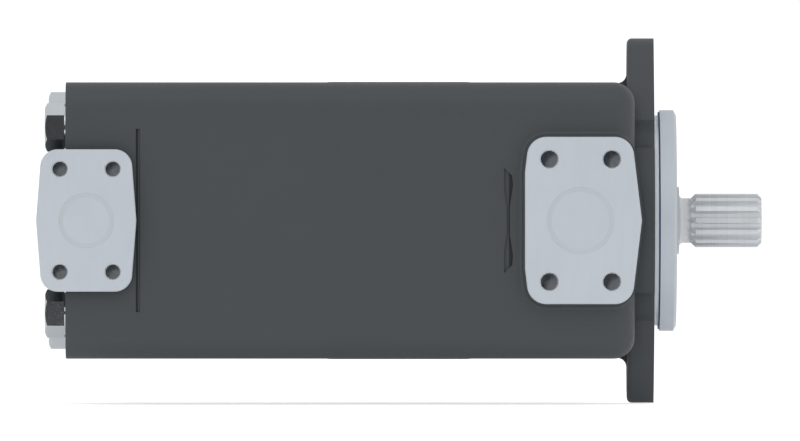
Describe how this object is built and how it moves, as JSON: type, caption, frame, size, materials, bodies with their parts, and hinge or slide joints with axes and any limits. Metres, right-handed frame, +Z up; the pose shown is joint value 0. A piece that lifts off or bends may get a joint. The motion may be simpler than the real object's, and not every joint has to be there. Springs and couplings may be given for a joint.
{
  "type": "hydraulic vane pump",
  "caption": "Double hydraulic vane pump: square cast body, two-ear flange with pilot, splined shaft, two pressure pads on one side and a suction pad opposite.",
  "frame": {"origin": "centre of the mounting flange's face, on the shaft axis", "axes": "+X along the shaft towards the drive end, +Z up along the flange ears; the pressure ports face -Y and the suction port +Y"},
  "size_m": [0.4154, 0.174, 0.2096],
  "materials": {
    "casting": "satin dark grey paint on cast iron, pads machined bare",
    "shaft_steel": "ground and machined steel",
    "bearing_steel": "ground bearing steel",
    "cage_steel": "pressed steel",
    "spring_steel": "phosphated spring steel",
    "seal_steel": "pressed steel",
    "seal_rubber": "black oil-resistant rubber",
    "blue_seal": "dark blue sealing ring",
    "bush_bronze": "bearing bronze",
    "cartridge_steel": "ground steel",
    "vane_steel": "ground tool steel",
    "bolt_black": "glossy black oxide",
    "plug_grey": "turned closing disc"
  },
  "bodies": {
    "casing": {"front_housing": "casting", "centre_housing": "casting", "rear_cap": "casting", "bearing_outer_race": "bearing_steel", "housing_snap_ring": "spring_steel", "shaft_seal_case": "seal_steel", "shaft_seal_lip": "seal_rubber", "shaft_seal_spring": "spring_steel", "pilot_gasket": "blue_seal", "rear_bush": "bush_bronze", "front_joint_ring": "seal_rubber", "rear_joint_ring": "seal_rubber", "p1_plate_ring": "seal_rubber", "p2_plate_ring": "seal_rubber", "p1_cam_ring": "cartridge_steel", "p1_pressure_plate": "cartridge_steel", "p1_suction_plate": "cartridge_steel", "p1_dowel_pins": "cartridge_steel", "p1_cartridge_screws": "cartridge_steel", "p2_cam_ring": "cartridge_steel", "p2_pressure_plate": "cartridge_steel", "p2_suction_plate": "cartridge_steel", "p2_dowel_pins": "cartridge_steel", "p2_cartridge_screws": "cartridge_steel", "rear_cap_bolts": "bolt_black", "front_housing_screws": "bolt_black", "p1_port_plug": "plug_grey", "p2_port_plug": "plug_grey", "suction_port_plug": "plug_grey"},
    "shaft": {"shaft": "shaft_steel", "bearing_inner_race": "bearing_steel", "shaft_snap_ring": "spring_steel", "p1_rotor": "cartridge_steel", "p2_rotor": "cartridge_steel"},
    "bearing_cage": {"bearing_cage": "cage_steel", "bearing_balls": "bearing_steel"},
    "p1_vane_01": {"p1_vane_01": "vane_steel"},
    "p1_vane_02": {"p1_vane_02": "vane_steel"},
    "p1_vane_03": {"p1_vane_03": "vane_steel"},
    "p1_vane_04": {"p1_vane_04": "vane_steel"},
    "p1_vane_05": {"p1_vane_05": "vane_steel"},
    "p1_vane_06": {"p1_vane_06": "vane_steel"},
    "p1_vane_07": {"p1_vane_07": "vane_steel"},
    "p1_vane_08": {"p1_vane_08": "vane_steel"},
    "p1_vane_09": {"p1_vane_09": "vane_steel"},
    "p1_vane_10": {"p1_vane_10": "vane_steel"},
    "p2_vane_01": {"p2_vane_01": "vane_steel"},
    "p2_vane_02": {"p2_vane_02": "vane_steel"},
    "p2_vane_03": {"p2_vane_03": "vane_steel"},
    "p2_vane_04": {"p2_vane_04": "vane_steel"},
    "p2_vane_05": {"p2_vane_05": "vane_steel"},
    "p2_vane_06": {"p2_vane_06": "vane_steel"},
    "p2_vane_07": {"p2_vane_07": "vane_steel"},
    "p2_vane_08": {"p2_vane_08": "vane_steel"},
    "p2_vane_09": {"p2_vane_09": "vane_steel"},
    "p2_vane_10": {"p2_vane_10": "vane_steel"}
  },
  "joints": [
    {"name": "shaft_spin", "type": "hinge", "parent": "casing", "child": "shaft", "pos_m": [0, 0, 0], "axis": [1, 0, 0], "continuous": true},
    {"name": "bearing_cage_roll", "type": "hinge", "parent": "casing", "child": "bearing_cage", "pos_m": [0, 0, 0], "axis": [1, 0, 0], "continuous": true},
    {"name": "p1_vane_01_slide", "type": "slide", "parent": "shaft", "child": "p1_vane_01", "axis": [0, 1, 0], "range_m": [0, 0.000628]},
    {"name": "p1_vane_02_slide", "type": "slide", "parent": "shaft", "child": "p1_vane_02", "axis": [0, 0.809, 0.5878], "range_m": [0, 0.000628]},
    {"name": "p1_vane_03_slide", "type": "slide", "parent": "shaft", "child": "p1_vane_03", "axis": [0, 0.309, 0.9511], "range_m": [0, 0.00329]},
    {"name": "p1_vane_04_slide", "type": "slide", "parent": "shaft", "child": "p1_vane_04", "axis": [0, -0.309, 0.9511], "range_m": [0, 0.00522]},
    {"name": "p1_vane_05_slide", "type": "slide", "parent": "shaft", "child": "p1_vane_05", "axis": [0, -0.809, 0.5878], "range_m": [0, 0.00329]},
    {"name": "p1_vane_06_slide", "type": "slide", "parent": "shaft", "child": "p1_vane_06", "axis": [0, -1, 0], "range_m": [0, 0.000628]},
    {"name": "p1_vane_07_slide", "type": "slide", "parent": "shaft", "child": "p1_vane_07", "axis": [0, -0.809, -0.5878], "range_m": [0, 0.000628]},
    {"name": "p1_vane_08_slide", "type": "slide", "parent": "shaft", "child": "p1_vane_08", "axis": [0, -0.309, -0.9511], "range_m": [0, 0.00329]},
    {"name": "p1_vane_09_slide", "type": "slide", "parent": "shaft", "child": "p1_vane_09", "axis": [0, 0.309, -0.9511], "range_m": [0, 0.00522]},
    {"name": "p1_vane_10_slide", "type": "slide", "parent": "shaft", "child": "p1_vane_10", "axis": [0, 0.809, -0.5878], "range_m": [0, 0.00329]},
    {"name": "p2_vane_01_slide", "type": "slide", "parent": "shaft", "child": "p2_vane_01", "axis": [0, 1, 0], "range_m": [0, 0.00057]},
    {"name": "p2_vane_02_slide", "type": "slide", "parent": "shaft", "child": "p2_vane_02", "axis": [0, 0.809, 0.5878], "range_m": [0, 0.00057]},
    {"name": "p2_vane_03_slide", "type": "slide", "parent": "shaft", "child": "p2_vane_03", "axis": [0, 0.309, 0.9511], "range_m": [0, 0.00286]},
    {"name": "p2_vane_04_slide", "type": "slide", "parent": "shaft", "child": "p2_vane_04", "axis": [0, -0.309, 0.9511], "range_m": [0, 0.00452]},
    {"name": "p2_vane_05_slide", "type": "slide", "parent": "shaft", "child": "p2_vane_05", "axis": [0, -0.809, 0.5878], "range_m": [0, 0.00286]},
    {"name": "p2_vane_06_slide", "type": "slide", "parent": "shaft", "child": "p2_vane_06", "axis": [0, -1, 0], "range_m": [0, 0.00057]},
    {"name": "p2_vane_07_slide", "type": "slide", "parent": "shaft", "child": "p2_vane_07", "axis": [0, -0.809, -0.5878], "range_m": [0, 0.00057]},
    {"name": "p2_vane_08_slide", "type": "slide", "parent": "shaft", "child": "p2_vane_08", "axis": [0, -0.309, -0.9511], "range_m": [0, 0.00286]},
    {"name": "p2_vane_09_slide", "type": "slide", "parent": "shaft", "child": "p2_vane_09", "axis": [0, 0.309, -0.9511], "range_m": [0, 0.00452]},
    {"name": "p2_vane_10_slide", "type": "slide", "parent": "shaft", "child": "p2_vane_10", "axis": [0, 0.809, -0.5878], "range_m": [0, 0.00286]}
  ],
  "couplings": [
    {"joint": "bearing_cage_roll", "follows": "shaft_spin", "ratio": 0.4}
  ]
}
